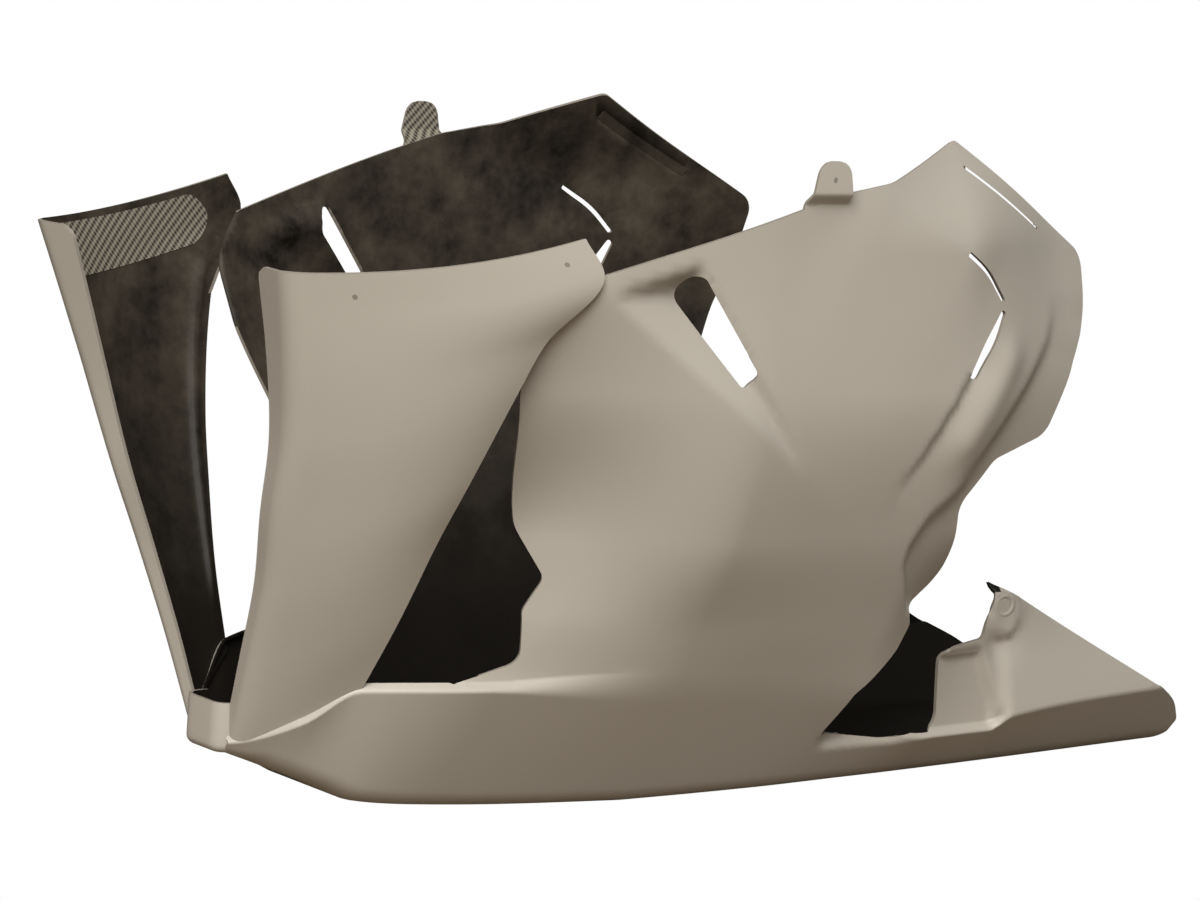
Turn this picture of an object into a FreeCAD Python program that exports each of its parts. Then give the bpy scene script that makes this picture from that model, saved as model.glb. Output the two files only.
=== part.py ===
import FreeCAD, Part
import math
import os
from FreeCAD import Vector

# Lower fairing of a sports motorbike, moulded in one thin laminate.
# X runs rearwards, Y to the bike's right and Z up. The belly stands on Z = 0.
# The left half is built, mirrored and joined.

doc = FreeCAD.newDocument("lower_fairing")
sheet = doc.addObject("Spreadsheet::Sheet", "dimensions")

sizes = {
    # laminate
    "wall": 2.4,
    "lap": 1.2,
    # stations along the length
    "overall_length": 889,
    # stations along the bike are set out at this length and stretch with the overall length
    "drawn_length": 889,
    "lip_x": -386,
    "foot_x": -318,
    "front_x": -240,
    "hip_x": -100,
    "corner_x": 60,
    "rear_x": 190,
    # belly floor
    "lip_bottom": 54,
    "lip_height": 26,
    "lip_wall": 3.6,
    "foot_floor_height": 26,
    "belly_bend_x": -294,
    "bend_floor_height": 14.5,
    "front_floor_height": 8.5,
    "belly_rise_x": -90,
    "belly_radius": 14,
    "lip_half_width": 30,
    "foot_floor_half_width": 47,
    "front_floor_half_width": 63,
    "hip_floor_half_width": 82,
    "rear_floor_half_width": 92,
    "tail_floor_half_width": 88,
    # ridge where the belly's sides meet the panels
    "foot_ridge_half_width": 82,
    "front_ridge_half_width": 118,
    "hip_ridge_half_width": 138,
    "corner_ridge_half_width": 141,
    "rear_ridge_half_width": 133,
    "tail_ridge_half_width": 128,
    "lip_ridge_height": 59,
    "foot_ridge_height": 97,
    "hip_ridge_height": 92,
    "corner_ridge_height": 76,
    "rear_ridge_height": 46,
    "tail_ridge_height": 50,
    "ridge_radius": 6,
    "ledge_depth": 6,
    "ledge_height": 50,
    # side panel: heights of its four lines and the half widths along them
    "fin_level": 135,
    "foot_fin_half_width": 88,
    "front_fin_half_width": 114,
    "hip_fin_half_width": 158,
    "corner_fin_half_width": 166,
    "rear_fin_half_width": 122,
    "tail_fin_half_width": 112,
    "hip_level": 200,
    "foot_hip_half_width": 100,
    "front_hip_half_width": 119,
    "hip_hip_half_width": 190,
    "corner_hip_half_width": 192,
    "rear_hip_half_width": 176,
    "waist_level": 300,
    "foot_waist_half_width": 136,
    "front_waist_half_width": 168,
    "hip_waist_half_width": 212,
    "corner_waist_half_width": 215,
    "rear_waist_half_width": 196,
    "crown_level": 395,
    "foot_crown_half_width": 178,
    "front_crown_half_width": 198,
    "hip_crown_half_width": 215,
    "corner_crown_half_width": 215,
    "rear_crown_half_width": 178,
    "top_level": 472,
    "panel_lower_level": 285,
    # spacing of the control points that draw the side
    "row_pitch": 38,
    "fine_row_pitch": 14,
    "lip_pitch": 23,
    "column_pitch": 34,
    "vent_pitch": 14.5,
    "gill_pitch": 17,
    "lobe_pitch": 25,
    "tail_pitch": 76,
    "front_top_half_width": 204,
    "hip_top_half_width": 220,
    "corner_top_half_width": 184,
    "rear_top_half_width": 150,
    # shoulder that runs from the notch down to the rear corner
    "shoulder_top_x": -221,
    "shoulder_top_z": 359,
    "shoulder_end_x": 66,
    "shoulder_end_z": 154,
    "shoulder_height": 5,
    "shoulder_spread": 34,
    "recess_depth": 16,
    "recess_lead": 12,
    "recess_entry": 40,
    "recess_rear_wall": 6,
    "recess_fade_start": 104,
    "recess_fade_end": 235,
    "recess_shallowing": 0.45,
    # relief starts to rise this far above the ridge
    "relief_rise": 30,
    # gill line from its head to its foot
    "gill_head_x": 102,
    "gill_head_z": 352,
    "gill_foot_x": 44,
    "gill_foot_z": 223,
    "gill_depth": 6,
    "gill_spread": 22,
    "gill_steep_spread": 7,
    "gill_entry": 40,
    "gill_fade_start": 115,
    "gill_fade_run": 60,
    # blister behind the gill line
    "blister_x": 110,
    "blister_z": 270,
    "blister_height": 6,
    "blister_radius": 24,
    "blister_slimness": 0.8,
    # lip round the rear lobe, behind a crease
    "crease_head_x": 174,
    "crease_head_z": 351,
    "crease_foot_x": 102,
    "crease_foot_z": 241,
    "lip_step": 4,
    "lip_run": 9,
    "lip_low_z": 190,
    "lip_low_run": 40,
    "lip_high_z": 360,
    "lip_high_run": 60,
    # recessed panel ahead of the fin
    "joggle_x": 214,
    "joggle_depth": 5,
    "joggle_run": 9,
    "joggle_front_x": 110,
    "joggle_front_run": 20,
    "joggle_top_z": 155,
    "joggle_top_run": 30,
    # tab
    "tab_x": -76,
    "tab_root": 412,
    "tab_bend_low": 424,
    "tab_bend_high": 433,
    "tab_top": 457,
    "tab_width": 36,
    "tab_half_width": 223,
    "tab_wall": 1.8,
    # duct: leading edge from foot to top, rear edge from foot to top
    "nose_foot_x": -378,
    "nose_foot_z": 58,
    "nose_foot_half_width": 33,
    "nose_mid_x": -405,
    "nose_mid_z": 216,
    "nose_mid_half_width": 97,
    "nose_high_x": -427,
    "nose_high_z": 319,
    "nose_high_half_width": 133,
    "nose_top_z": 374,
    "nose_top_half_width": 146,
    # the control points stand this far ahead of the rounded edge that they draw
    "nose_lead": 0.7,
    "duct_foot_x": -318,
    "duct_foot_z": 86,
    "duct_foot_half_width": 76,
    "duct_low_x": -311,
    "duct_low_half_width": 107,
    "duct_low_z": 147,
    "duct_mid_x": -303,
    "duct_mid_half_width": 132,
    "duct_mid_z": 203,
    "duct_head_x": -282,
    "duct_head_half_width": 174,
    "duct_head_z": 301,
    "notch_x": -242,
    "notch_half_width": 202,
    "notch_z": 377,
    "duct_top_x": -256,
    "duct_top_half_width": 199,
    "duct_top_z": 401,
    "duct_bulge": 10,
    "duct_sag": 7,
    "nose_radius": 7,
    "return_foot_width": 14,
    "return_top_width": 39,
    "return_sweep": 0.15,
    "duct_blend": 0.16,
    "duct_lap": -1.2,
    "riser_low_z": 300,
    "riser_high_z": 374,
    "riser_inset": 0.4,
    # boss on the fin
    "boss_x": 227,
    "boss_z": 124,
    "boss_diameter": 16,
    "boss_hole": 10,
    "boss_height": 1.5,
    # slit near the rear top edge, cut at a lean
    "slit_half_width": 184,
    "slit_lean": 40,
    "slit_reach": 16,
}

# Corners of the side view outline and of the vent, each with its rounding.
corners = {
    "tail_heel": (438.5, -20, 0),
    "tail_tip": (447, 24, 9),
    "tail_bend": (371.5, 75, 30),
    "fin_back": (242, 131, 10),
    "fin_tip": (208, 140, 6),
    "fin_front": (211, 118, 8),
    "fin_root": (208, 103, 4),
    "pad_top": (157, 93, 9),
    "pad_foot": (151, 35, 7),
    "notch_toe": (50, 34, 4),
    "flank_foot": (66, 76, 12),
    "flank_low": (90, 106, 10),
    "flank_back": (95, 127, 5),
    "flank_heel": (86, 138, 4),
    "flange_low": (113, 165, 12),
    "flange_high": (95, 222, 14),
    "lobe_low": (108, 250, 12),
    "lobe_back": (158, 266, 24),
    "lobe_top": (219, 377, 26),
    "panel_peak": (68, 467, 7),
    "panel_dip": (-8, 440, 40),
    "panel_brow": (-60, 431, 60),
    "panel_head": (-248, 375, 3),
    "panel_throat": (-280, 333, 40),
    "panel_chin": (-288, 304, 3),
    "throat_top": (-266, 290, 10),
    "throat_mid": (-236, 207, 40),
    "bump_top": (-212, 172, 9),
    "bump_low": (-223, 150, 8),
    "throat_low": (-219, 115, 10),
    "ledge_rear": (-252, 99, 20),
    "ledge_front": (-318, 98, 10),
    "groove_mid": (-347, 75, 30),
    "groove_low": (-374, 59, 10),
    "lip_crown": (-396, 57, 0),
    "lip_toe": (-396, -20, 0),
    "vent_peak": (-179, 386, 6),
    "vent_brow": (-157, 366, 30),
    "vent_tip": (-116, 311, 3),
    "vent_base": (-126, 306, 3),
    "vent_cheek": (-187, 370, 7),
    "tab_front_foot": (-94, 412, 0),
    "tab_front_top": (-90, 457, 16),
    "tab_rear_top": (-62, 457, 16),
    "tab_rear_foot": (-58, 412, 0),
    "gill_top_start": (60, 395, 1),
    "gill_top_middle": (82, 381, 40),
    "gill_top_end": (104, 362, 1),
    "gill_top_back": (101, 359, 1),
    "gill_top_under": (80, 377, 40),
    "gill_top_heel": (58, 391, 1),
    "gill_low_start": (107, 351, 2),
    "gill_low_end": (85, 306, 2),
    "gill_low_heel": (80, 308, 2),
    "gill_low_back": (102, 354, 2),
    "slit_start": (71, 451, 1),
    "slit_end": (155, 407, 1),
    "slit_heel": (154, 405, 1),
    "slit_back": (70, 449, 1),
}


def named_run(first, last):
    names = list(corners)
    return names[names.index(first):names.index(last) + 1]


side_corners = named_run("tail_heel", "lip_toe")
vent_corners = named_run("vent_peak", "vent_cheek")
tab_corners = named_run("tab_front_foot", "tab_rear_foot")
gill_top_corners = named_run("gill_top_start", "gill_top_heel")
gill_low_corners = named_run("gill_low_start", "gill_low_back")
slit_corners = named_run("slit_start", "slit_back")


def write_sheet():
    values = dict(sizes)
    for name, (x, z, radius) in corners.items():
        values[name + "_x"] = x
        values[name + "_z"] = z
        values[name + "_radius"] = radius
    for row, (name, value) in enumerate(values.items(), start=1):
        sheet.set("A%d" % row, name)
        sheet.set("B%d" % row, str(value))
        sheet.setAlias("B%d" % row, name)
    doc.recompute()
    return {name: float(sheet.get(name)) for name in values}


size = write_sheet()
wall = size["wall"]
tail_x = size["overall_length"] / 2
stretch = size["overall_length"] / size["drawn_length"]
for name in size:
    if name.endswith("_x"):
        size[name] *= stretch


def rail(stations, values, at):
    # smooth curve through the stations that keeps their rises and falls
    if at <= stations[0]:
        return values[0]
    if at >= stations[-1]:
        return values[-1]
    count = len(stations)
    gaps = [stations[i + 1] - stations[i] for i in range(count - 1)]
    slopes = [(values[i + 1] - values[i]) / gaps[i] for i in range(count - 1)]
    bends = [slopes[0]]
    for i in range(1, count - 1):
        if slopes[i - 1] * slopes[i] <= 0:
            bends.append(0.0)
        else:
            before = 2 * gaps[i] + gaps[i - 1]
            after = gaps[i] + 2 * gaps[i - 1]
            bends.append((before + after) / (before / slopes[i - 1] + after / slopes[i]))
    bends.append(slopes[-1])
    i = max(k for k in range(count - 1) if stations[k] <= at)
    t = (at - stations[i]) / gaps[i]
    return (values[i] * (1 + 2 * t) * (1 - t) ** 2 + gaps[i] * bends[i] * t * (1 - t) ** 2
            + values[i + 1] * t * t * (3 - 2 * t) - gaps[i] * bends[i + 1] * t * t * (1 - t))


def ease(t):
    t = min(1.0, max(0.0, t))
    return t * t * (3 - 2 * t)


station_x = [size["lip_x"], size["foot_x"], size["front_x"], size["hip_x"],
             size["corner_x"], size["rear_x"], tail_x]


def along(x, *names):
    # a half width or height that runs the whole length, named station by station
    return rail(station_x, [size[name] for name in names], x)


def floor_height(x):
    rise_x = [size[name] for name in ("lip_x", "foot_x", "belly_bend_x", "front_x", "belly_rise_x")]
    heights = [size[name] for name in (
        "lip_bottom", "foot_floor_height", "bend_floor_height", "front_floor_height")]
    return rail(rise_x, heights + [0.0], x)


def floor_half_width(x):
    return along(x, "lip_half_width", "foot_floor_half_width", "front_floor_half_width",
                 "hip_floor_half_width", "rear_floor_half_width", "rear_floor_half_width",
                 "tail_floor_half_width")


def ridge(x):
    half_width = along(x, "lip_half_width", "foot_ridge_half_width", "front_ridge_half_width",
                       "hip_ridge_half_width", "corner_ridge_half_width",
                       "rear_ridge_half_width", "tail_ridge_half_width")
    height = along(x, "lip_ridge_height", "foot_ridge_height", "foot_ridge_height",
                   "hip_ridge_height", "corner_ridge_height", "rear_ridge_height",
                   "tail_ridge_height")
    return half_width, height


def ledge_depth(x):
    # how far the panel falls in just above the ridge, fading out along the side
    share = (x - size["front_x"]) / (size["hip_x"] - size["front_x"])
    return size["ledge_depth"] * (1 - ease(share))


def panel_base(x, z):
    # half width of the side panel before its relief
    ridge_half_width, ridge_z = ridge(x)
    levels = [ridge_z, size["fin_level"], size["hip_level"], size["waist_level"],
              size["crown_level"], size["top_level"]]
    half_widths = [
        ridge_half_width,
        along(x, "lip_half_width", "foot_fin_half_width", "front_fin_half_width",
              "hip_fin_half_width", "corner_fin_half_width", "rear_fin_half_width",
              "tail_fin_half_width"),
        along(x, "lip_half_width", "foot_hip_half_width", "front_hip_half_width",
              "hip_hip_half_width", "corner_hip_half_width", "rear_hip_half_width",
              "tail_fin_half_width"),
        along(x, "lip_half_width", "foot_waist_half_width", "front_waist_half_width",
              "hip_waist_half_width", "corner_waist_half_width", "rear_waist_half_width",
              "tail_fin_half_width"),
        along(x, "lip_half_width", "foot_crown_half_width", "front_crown_half_width",
              "hip_crown_half_width", "corner_crown_half_width", "rear_crown_half_width",
              "tail_fin_half_width"),
        along(x, "lip_half_width", "foot_crown_half_width", "front_top_half_width",
              "hip_top_half_width", "corner_top_half_width", "rear_top_half_width",
              "tail_fin_half_width"),
    ]
    inset = ledge_depth(x) * (1 - ease((z - ridge_z) / size["ledge_height"]))
    return rail(levels, half_widths, z) - inset * ease((z - ridge_z) / (2 * size["ridge_radius"]))


def place(name):
    return size[name + "_x"], size[name + "_z"]


def across(point, start, end):
    # distance of a point along the line from start to end, and to the line's upper right
    run = math.hypot(end[0] - start[0], end[1] - start[1])
    ux = (end[0] - start[0]) / run
    uz = (end[1] - start[1]) / run
    dx = point[0] - start[0]
    dz = point[1] - start[1]
    return dx * ux + dz * uz, dz * ux - dx * uz


def shoulder_relief(x, z):
    start = place("shoulder_top")
    end = place("shoulder_end")
    length = across(end, start, end)[0]
    run, off = across((x, z), start, end)
    swell = math.exp(-(off / size["shoulder_spread"]) ** 2)
    crest = size["shoulder_height"] * (1 - ease(run / length)) * swell
    # the recess falls from the shoulder to the vent's front edge and ends at its rear edge
    cheek, base, peak, tip = [across(place("vent_" + name), start, end)
                              for name in ("cheek", "base", "peak", "tip")]
    valley = rail([cheek[0], base[0]], [cheek[1], base[1]], run)
    brow = rail([peak[0], tip[0]], [peak[1], tip[1]], run)
    brow = max(valley + size["recess_rear_wall"], brow)
    if off < valley:
        profile = ease(off / valley)
    else:
        profile = ease((brow - off) / (brow - valley))
    entry = ease((run + size["recess_lead"]) / size["recess_entry"])
    fade_run = size["recess_fade_end"] - size["recess_fade_start"]
    fade = 1 - ease((run - size["recess_fade_start"]) / fade_run)
    shallow = 1 - size["recess_shallowing"] * ease(run / size["recess_fade_start"])
    return crest - size["recess_depth"] * profile * entry * fade * shallow


def gill_relief(x, z):
    run, off = across((x, z), place("gill_head"), place("gill_foot"))
    spread = size["gill_spread"] if off < 0 else size["gill_steep_spread"]
    entry = ease(run / size["gill_entry"] + 0.5)
    fade = 1 - ease((run - size["gill_fade_start"]) / size["gill_fade_run"])
    valley = size["gill_depth"] * math.exp(-(off / spread) ** 2) * entry * fade
    blister_x, blister_z = place("blister")
    reach = math.hypot((x - blister_x) / size["blister_slimness"], z - blister_z)
    return size["blister_height"] * math.exp(-(reach / size["blister_radius"]) ** 2) - valley


def lip_relief(x, z):
    run, off = across((x, z), place("crease_head"), place("crease_foot"))
    low = ease((z - size["lip_low_z"]) / size["lip_low_run"])
    high = ease((size["lip_high_z"] - z) / size["lip_high_run"])
    return -size["lip_step"] * ease(-off / size["lip_run"]) * low * high


def joggle_relief(x, z):
    lower = ease((size["joggle_top_z"] - z) / size["joggle_top_run"])
    rear = ease((size["joggle_x"] - x) / size["joggle_run"])
    front = ease((x - size["joggle_front_x"]) / size["joggle_front_run"])
    return -size["joggle_depth"] * rear * front * lower


def panel_half_width(x, z):
    relief = shoulder_relief(x, z) + gill_relief(x, z) + lip_relief(x, z) + joggle_relief(x, z)
    return panel_base(x, z) + relief * ease((z - ridge(x)[1]) / size["relief_rise"])


def side_half_width(x, z):
    ridge_half_width, ridge_z = ridge(x)
    if z >= ridge_z:
        return panel_half_width(x, z)
    floor_z = floor_height(x)
    t = max(0.0, (z - floor_z) / (ridge_z - floor_z))
    return floor_half_width(x) + (ridge_half_width - floor_half_width(x)) * t


def towards(start, end, share):
    return tuple(start[n] + (end[n] - start[n]) * share for n in (0, 1))


def keel_section(x):
    # control points of the belly's half section, from the middle of the floor to the ridge
    floor_z = floor_height(x)
    edge = (floor_half_width(x), floor_z)
    crest = ridge(x)
    strip = math.hypot(crest[0] - edge[0], crest[1] - edge[1])
    turn = min(size["belly_radius"] / strip, 0.4)
    middle = (0.0, floor_z)
    return [middle, towards(middle, edge, 0.4), (edge[0] - turn * strip, floor_z), edge,
            towards(edge, crest, turn), towards(edge, crest, 0.7), crest]


def panel_section(x):
    # control points of the side panel, from the ridge to above its top edge
    foot = ridge(x)[1]
    heights = (spaced(0.0, size["panel_lower_level"], size["row_pitch"])
               + spaced(size["panel_lower_level"], size["crown_level"], size["fine_row_pitch"])
               + spaced(size["crown_level"], size["top_level"], size["row_pitch"])
               + [size["top_level"]])
    lower = size["panel_lower_level"]
    rows = [z if z > lower else foot + (lower - foot) * z / lower for z in heights]
    return [(panel_half_width(x, z), z) for z in rows]


def spaced(start, end, pitch):
    count = max(1, int(round((end - start) / pitch)))
    return [start + (end - start) * k / count for k in range(count)]


def left(x, half_width, z):
    return Vector(x, -half_width, z)


def inner_grid(grid, thickness):
    # the grid moved inwards by the laminate's thickness, square to the surface
    rows = []
    last_i = len(grid) - 1
    last_j = len(grid[0]) - 1
    for i, column in enumerate(grid):
        line = []
        for j, point in enumerate(column):
            du = grid[min(i + 1, last_i)][j] - grid[max(i - 1, 0)][j]
            dv = column[min(j + 1, last_j)] - column[max(j - 1, 0)]
            normal = du.cross(dv)
            normal.normalize()
            line.append(point - normal * thickness)
        rows.append(line)
    return rows


def net_faces(net, cuts=((), ())):
    # smooth surface drawn by a net of control points, parted at the given knots
    degrees = [min(3, len(net) - 1), min(3, len(net[0]) - 1)]
    knots = []
    repeats = []
    limits = []
    for count, degree, parts in zip((len(net), len(net[0])), degrees, cuts):
        spans = count - degree
        knots.append([float(k) for k in range(spans + 1)])
        repeats.append([degree + 1] + [1] * (spans - 1) + [degree + 1])
        limits.append([0.0] + [float(k) for k in parts] + [float(spans)])
    faces = []
    for u0, u1 in zip(limits[0], limits[0][1:]):
        for v0, v1 in zip(limits[1], limits[1][1:]):
            surface = Part.BSplineSurface()
            surface.buildFromPolesMultsKnots(net, repeats[0], repeats[1], knots[0], knots[1],
                                             False, False, degrees[0], degrees[1])
            surface.segment(u0, u1, v0, v1)
            faces.append(surface.toShape())
    return faces


def closed_solid(faces):
    shell = Part.makeCompound(faces)
    shell.sewShape(0.001)
    solid = Part.Solid(shell.Shells[0])
    solid.fix(0.001, 0.001, 0.001)
    return solid


def rim(outer, inner, cuts=()):
    # strip of edge between two lines of control points
    return net_faces([outer, inner], ((), cuts))


def column(net, index):
    return [line[index] for line in net]


def slab(outer, inner, cuts=((), ())):
    faces = net_faces(outer, cuts) + net_faces(inner, cuts)
    for end in (0, -1):
        faces += rim(outer[end], inner[end], cuts[1])
        faces += rim(column(outer, end), column(inner, end), cuts[0])
    return closed_solid(faces)


def rounded_wire(names):
    # closed outline in the XZ plane with an arc at each rounded corner
    points = [Vector(size[name + "_x"], 0, size[name + "_z"]) for name in names]
    edges = []
    ends = []
    for i, name in enumerate(names):
        here = points[i]
        back = points[i - 1] - here
        ahead = points[(i + 1) % len(points)] - here
        half = back.getAngle(ahead) / 2
        reach = size[name + "_radius"] / math.tan(half)
        reach = min(reach, 0.48 * back.Length, 0.48 * ahead.Length)
        radius = reach * math.tan(half)
        back.normalize()
        ahead.normalize()
        start = here + back * reach
        end = here + ahead * reach
        if radius > 0:
            middle = back + ahead
            middle.normalize()
            arc_point = here + middle * (radius / math.sin(half) - radius)
            edges.append((i, Part.Arc(start, arc_point, end).toShape()))
        ends.append((start, end))
    wire = []
    arcs = dict(edges)
    for i in range(len(names)):
        if i in arcs:
            wire.append(arcs[i])
        start = ends[i][1]
        end = ends[(i + 1) % len(names)][0]
        if (end - start).Length > 1e-6:
            wire.append(Part.LineSegment(start, end).toShape())
    return Part.Wire(wire)


def add_feature(name, shape):
    feature = doc.addObject("Part::Feature", name)
    feature.Shape = shape
    return feature


def extrude_left(name, wire, reach):
    # solid that runs from the middle plane out past the left side
    profile = add_feature(name + "_outline", Part.Face(wire))
    prism = doc.addObject("Part::Extrusion", name)
    prism.Base = profile
    prism.DirMode = "Custom"
    prism.Dir = Vector(0, -1, 0)
    prism.Solid = True
    prism.setExpression("LengthFwd", reach)
    return prism


def left_net(columns, section):
    return [[left(x, half_width, z) for half_width, z in section(x)] for x in columns]


# left side: belly and panel are two surfaces that meet along the ridge
vent_front_x = size["shoulder_top_x"] + size["recess_lead"] / 2
side_x = (spaced(size["lip_x"], size["foot_x"], size["lip_pitch"])
          + spaced(size["foot_x"], vent_front_x, size["column_pitch"])
          + spaced(vent_front_x, size["hip_x"], size["vent_pitch"])
          + spaced(size["hip_x"], size["notch_toe_x"], size["column_pitch"])
          + spaced(size["notch_toe_x"], size["lobe_low_x"], size["gill_pitch"])
          + spaced(size["lobe_low_x"], size["joggle_x"] - size["joggle_run"], size["lobe_pitch"])
          + spaced(size["joggle_x"] - size["joggle_run"], size["fin_back_x"], size["joggle_run"])
          + spaced(size["fin_back_x"], tail_x, size["tail_pitch"]) + [tail_x])
keel_net = left_net(side_x, keel_section)
panel_net = left_net(side_x, panel_section)
keel_inner = inner_grid(keel_net, wall)
panel_inner = inner_grid(panel_net, wall)
for keel_line, panel_line, outer_line in zip(keel_inner, panel_inner, panel_net):
    # both inner surfaces share one line under the ridge
    crest = outer_line[0]
    both = (keel_line[-1] - crest) + (panel_line[0] - crest)
    shared = crest + both * (2 * wall * wall / both.dot(both))
    keel_line[-1] = shared
    panel_line[0] = Vector(shared)
    keel_line[0].y = 0
for end in (0, -1):
    for inner, outer in ((keel_inner, keel_net), (panel_inner, panel_net)):
        for point, reference in zip(inner[end], outer[end]):
            point.x = reference.x
length_cuts = range(5, len(side_x) - 5, 5)
keel_cuts = (length_cuts, (1,))
panel_cuts = (length_cuts, range(6, len(panel_net[0]) - 5, 6))
side_faces = []
for net, cuts in ((keel_net, keel_cuts), (keel_inner, keel_cuts),
                  (panel_net, panel_cuts), (panel_inner, panel_cuts)):
    side_faces += net_faces(net, cuts)
for outer, inner, cuts in ((keel_net, keel_inner, keel_cuts), (panel_net, panel_inner, panel_cuts)):
    for end in (0, -1):
        side_faces += rim(outer[end], inner[end], cuts[1])
side_faces += rim(column(keel_net, 0), column(keel_inner, 0), length_cuts)
side_faces += rim(column(panel_net, -1), column(panel_inner, -1), length_cuts)
side_skin = add_feature("side_skin", closed_solid(side_faces))
past_side = "dimensions.tab_half_width + 40"
side_outline = extrude_left("side_outline", rounded_wire(side_corners), past_side)
side = doc.addObject("Part::Common", "left_side")
side.Base = side_skin
side.Tool = side_outline


def nose(v):
    # leading edge of the duct from foot to top
    names = ("nose_foot", "nose_mid", "nose_high", "nose_top")
    heights = [size[name + "_z"] for name in names]
    reaches = [size[name + "_x"] for name in names[:3]] + [-tail_x - size["nose_lead"]]
    z = heights[0] + (heights[-1] - heights[0]) * v
    half_width = rail(heights, [size[name + "_half_width"] for name in names], z)
    return Vector(rail(heights, reaches, z), half_width, z)


def duct_rear(v):
    # rear edge of the duct from foot to top
    names = ("duct_foot", "duct_low", "duct_mid", "duct_head", "notch", "duct_top")
    heights = [size[name + "_z"] for name in names]
    z = heights[0] + (heights[-1] - heights[0]) * v
    return Vector(rail(heights, [size[name + "_x"] for name in names], z),
                  rail(heights, [size[name + "_half_width"] for name in names], z), z)


def duct_point(u, v):
    front = nose(v)
    rear = duct_rear(v)
    point = front + (rear - front) * u
    hump = 4 * u * (1 - u)
    point.y += size["duct_bulge"] * hump * (0.25 + 0.75 * v)
    point.z -= size["duct_sag"] * hump * v
    on_belly = 1 - ease(v / size["duct_blend"])
    point.y += (side_half_width(point.x, point.z) + size["duct_lap"] - point.y) * on_belly
    return point


def duct_line(v):
    # control points across the duct, from the inner edge of its rolled front to the rear edge
    front = duct_point(0.0, v)
    inward = Vector(size["return_sweep"], -1, 0)
    width = size["return_foot_width"] + (size["return_top_width"] - size["return_foot_width"]) * v
    reach = (duct_point(1.0, v) - front).Length
    line = [front + inward * step for step in (width, width / 2, size["nose_radius"], 0)]
    line.append(duct_point(size["nose_radius"] / reach, v))
    line += [duct_point(u, v) for u in (0.2, 0.4, 0.6, 0.8, 1.0)]
    return [left(point.x, point.y, point.z) for point in line]


blend = size["duct_blend"]
duct_rows = [duct_line(v) for v in spaced(0.0, blend, blend / 3) + spaced(blend, 1.0, 0.12) + [1.0]]
duct_net = [list(line) for line in zip(*duct_rows)]
duct_skin = add_feature("duct_skin", slab(duct_net, inner_grid(duct_net, wall), ((1, 3), ())))


def riser_net(shift):
    # strip from the duct's rear edge across to the panel, both ends in the middle of the wall
    lines = [[], []]
    low = size["riser_low_z"]
    high = size["riser_high_z"]
    foot = size["duct_foot_z"]
    for z in spaced(low, high, (high - low) / 5) + [high]:
        edge = duct_rear((z - foot) / (size["duct_top_z"] - foot))
        x = edge.x - shift
        lines[0].append(left(x, edge.y - wall / 2, z))
        lines[1].append(left(x, panel_half_width(x, z) - wall / 2, z))
    return lines


inset = size["riser_inset"]
riser = add_feature("riser", slab(riser_net(inset), riser_net(inset + wall)))


# tab: a bent strip that rises from the panel's wall, steps out and stands flat
half_strip = size["tab_wall"] / 2
spine = [(panel_half_width(size["tab_x"], size[name]) - wall / 2, size[name])
         for name in ("tab_root", "tab_bend_low")]
spine += [(size["tab_half_width"] - half_strip, size[name]) for name in ("tab_bend_high", "tab_top")]
tab_front_x = size["tab_x"] - size["tab_width"] / 2
tab_section = [left(tab_front_x, w + half_strip, z) for w, z in spine]
tab_section += [left(tab_front_x, w - half_strip, z) for w, z in reversed(spine)]
tab_profile = add_feature("tab_profile", Part.Face(Part.makePolygon(tab_section + tab_section[:1])))
tab_strip = doc.addObject("Part::Extrusion", "tab_strip")
tab_strip.Base = tab_profile
tab_strip.DirMode = "Custom"
tab_strip.Dir = Vector(1, 0, 0)
tab_strip.Solid = True
tab_strip.setExpression("LengthFwd", "dimensions.tab_width")
tab_outline = extrude_left("tab_outline", rounded_wire(tab_corners), past_side)
tab = doc.addObject("Part::Common", "tab")
tab.Base = tab_strip
tab.Tool = tab_outline

# ring on the fin
boss_outer = doc.addObject("Part::Cylinder", "boss_outer")
boss_outer.setExpression("Radius", "dimensions.boss_diameter / 2")
boss_hole = doc.addObject("Part::Cylinder", "boss_hole")
boss_hole.setExpression("Radius", "dimensions.boss_hole / 2")
boss_half_width = panel_half_width(size["boss_x"], size["boss_z"])
for cylinder in (boss_outer, boss_hole):
    cylinder.setExpression("Height", "dimensions.boss_height + dimensions.wall / 2")
    cylinder.Placement = FreeCAD.Placement(
        left(size["boss_x"], boss_half_width - wall / 2, size["boss_z"]),
        FreeCAD.Rotation(Vector(0, 0, 1), Vector(0, -1, 0)))
boss = doc.addObject("Part::Cut", "boss")
boss.Base = boss_outer
boss.Tool = boss_hole

left_body = doc.addObject("Part::MultiFuse", "left_body")
left_body.Shapes = [side, duct_skin, riser, tab, boss]

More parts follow.
